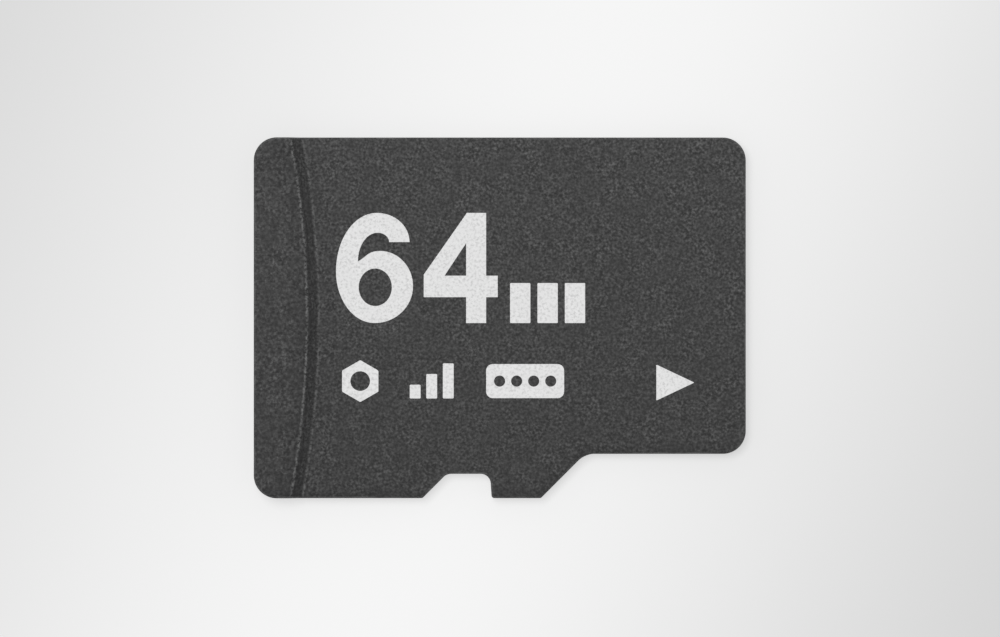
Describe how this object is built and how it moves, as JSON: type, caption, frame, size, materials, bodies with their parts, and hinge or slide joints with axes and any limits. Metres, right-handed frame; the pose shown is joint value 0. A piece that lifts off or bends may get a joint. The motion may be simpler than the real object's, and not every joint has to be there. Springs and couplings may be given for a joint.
{
  "type": "memory card",
  "caption": "Thin stepped memory card with a raised thumb lip, a latch notch and recessed contacts underneath, made to slide into a small socket.",
  "frame": {"origin": "middle of the card's overall rectangle, on its underside", "axes": "+X towards the insertion edge, +Y towards the plain side, away from the notch, +Z out of the printed face"},
  "size_m": [0.015, 0.011, 0.001],
  "materials": {
    "moulding": "fine-grained matt moulding compound",
    "substrate": "satin solder mask over laminate",
    "contact": "gold plating with faint wipe marks",
    "silicon": "smooth",
    "attach_film": "satin",
    "capacitor": "matt",
    "bond_wire": "bright",
    "ink": "printed ink"
  },
  "bodies": {
    "root": {"moulded_body": "moulding", "substrate": "substrate", "memory_chip": "silicon", "controller_chip": "silicon", "memory_chip_film": "attach_film", "controller_chip_film": "attach_film", "memory_bond_wires": "bond_wire", "controller_front_wires": "bond_wire", "controller_rear_wires": "bond_wire", "contact_1_data_2": "contact", "contact_2_data_3": "contact", "contact_3_command": "contact", "contact_4_supply": "contact", "contact_5_clock": "contact", "contact_6_ground": "contact", "contact_7_data_0": "contact", "contact_8_data_1": "contact", "capacitor_1": "capacitor", "capacitor_2": "capacitor", "capacitor_3": "capacitor", "capacitor_4": "capacitor"}
  },
  "joints": []
}
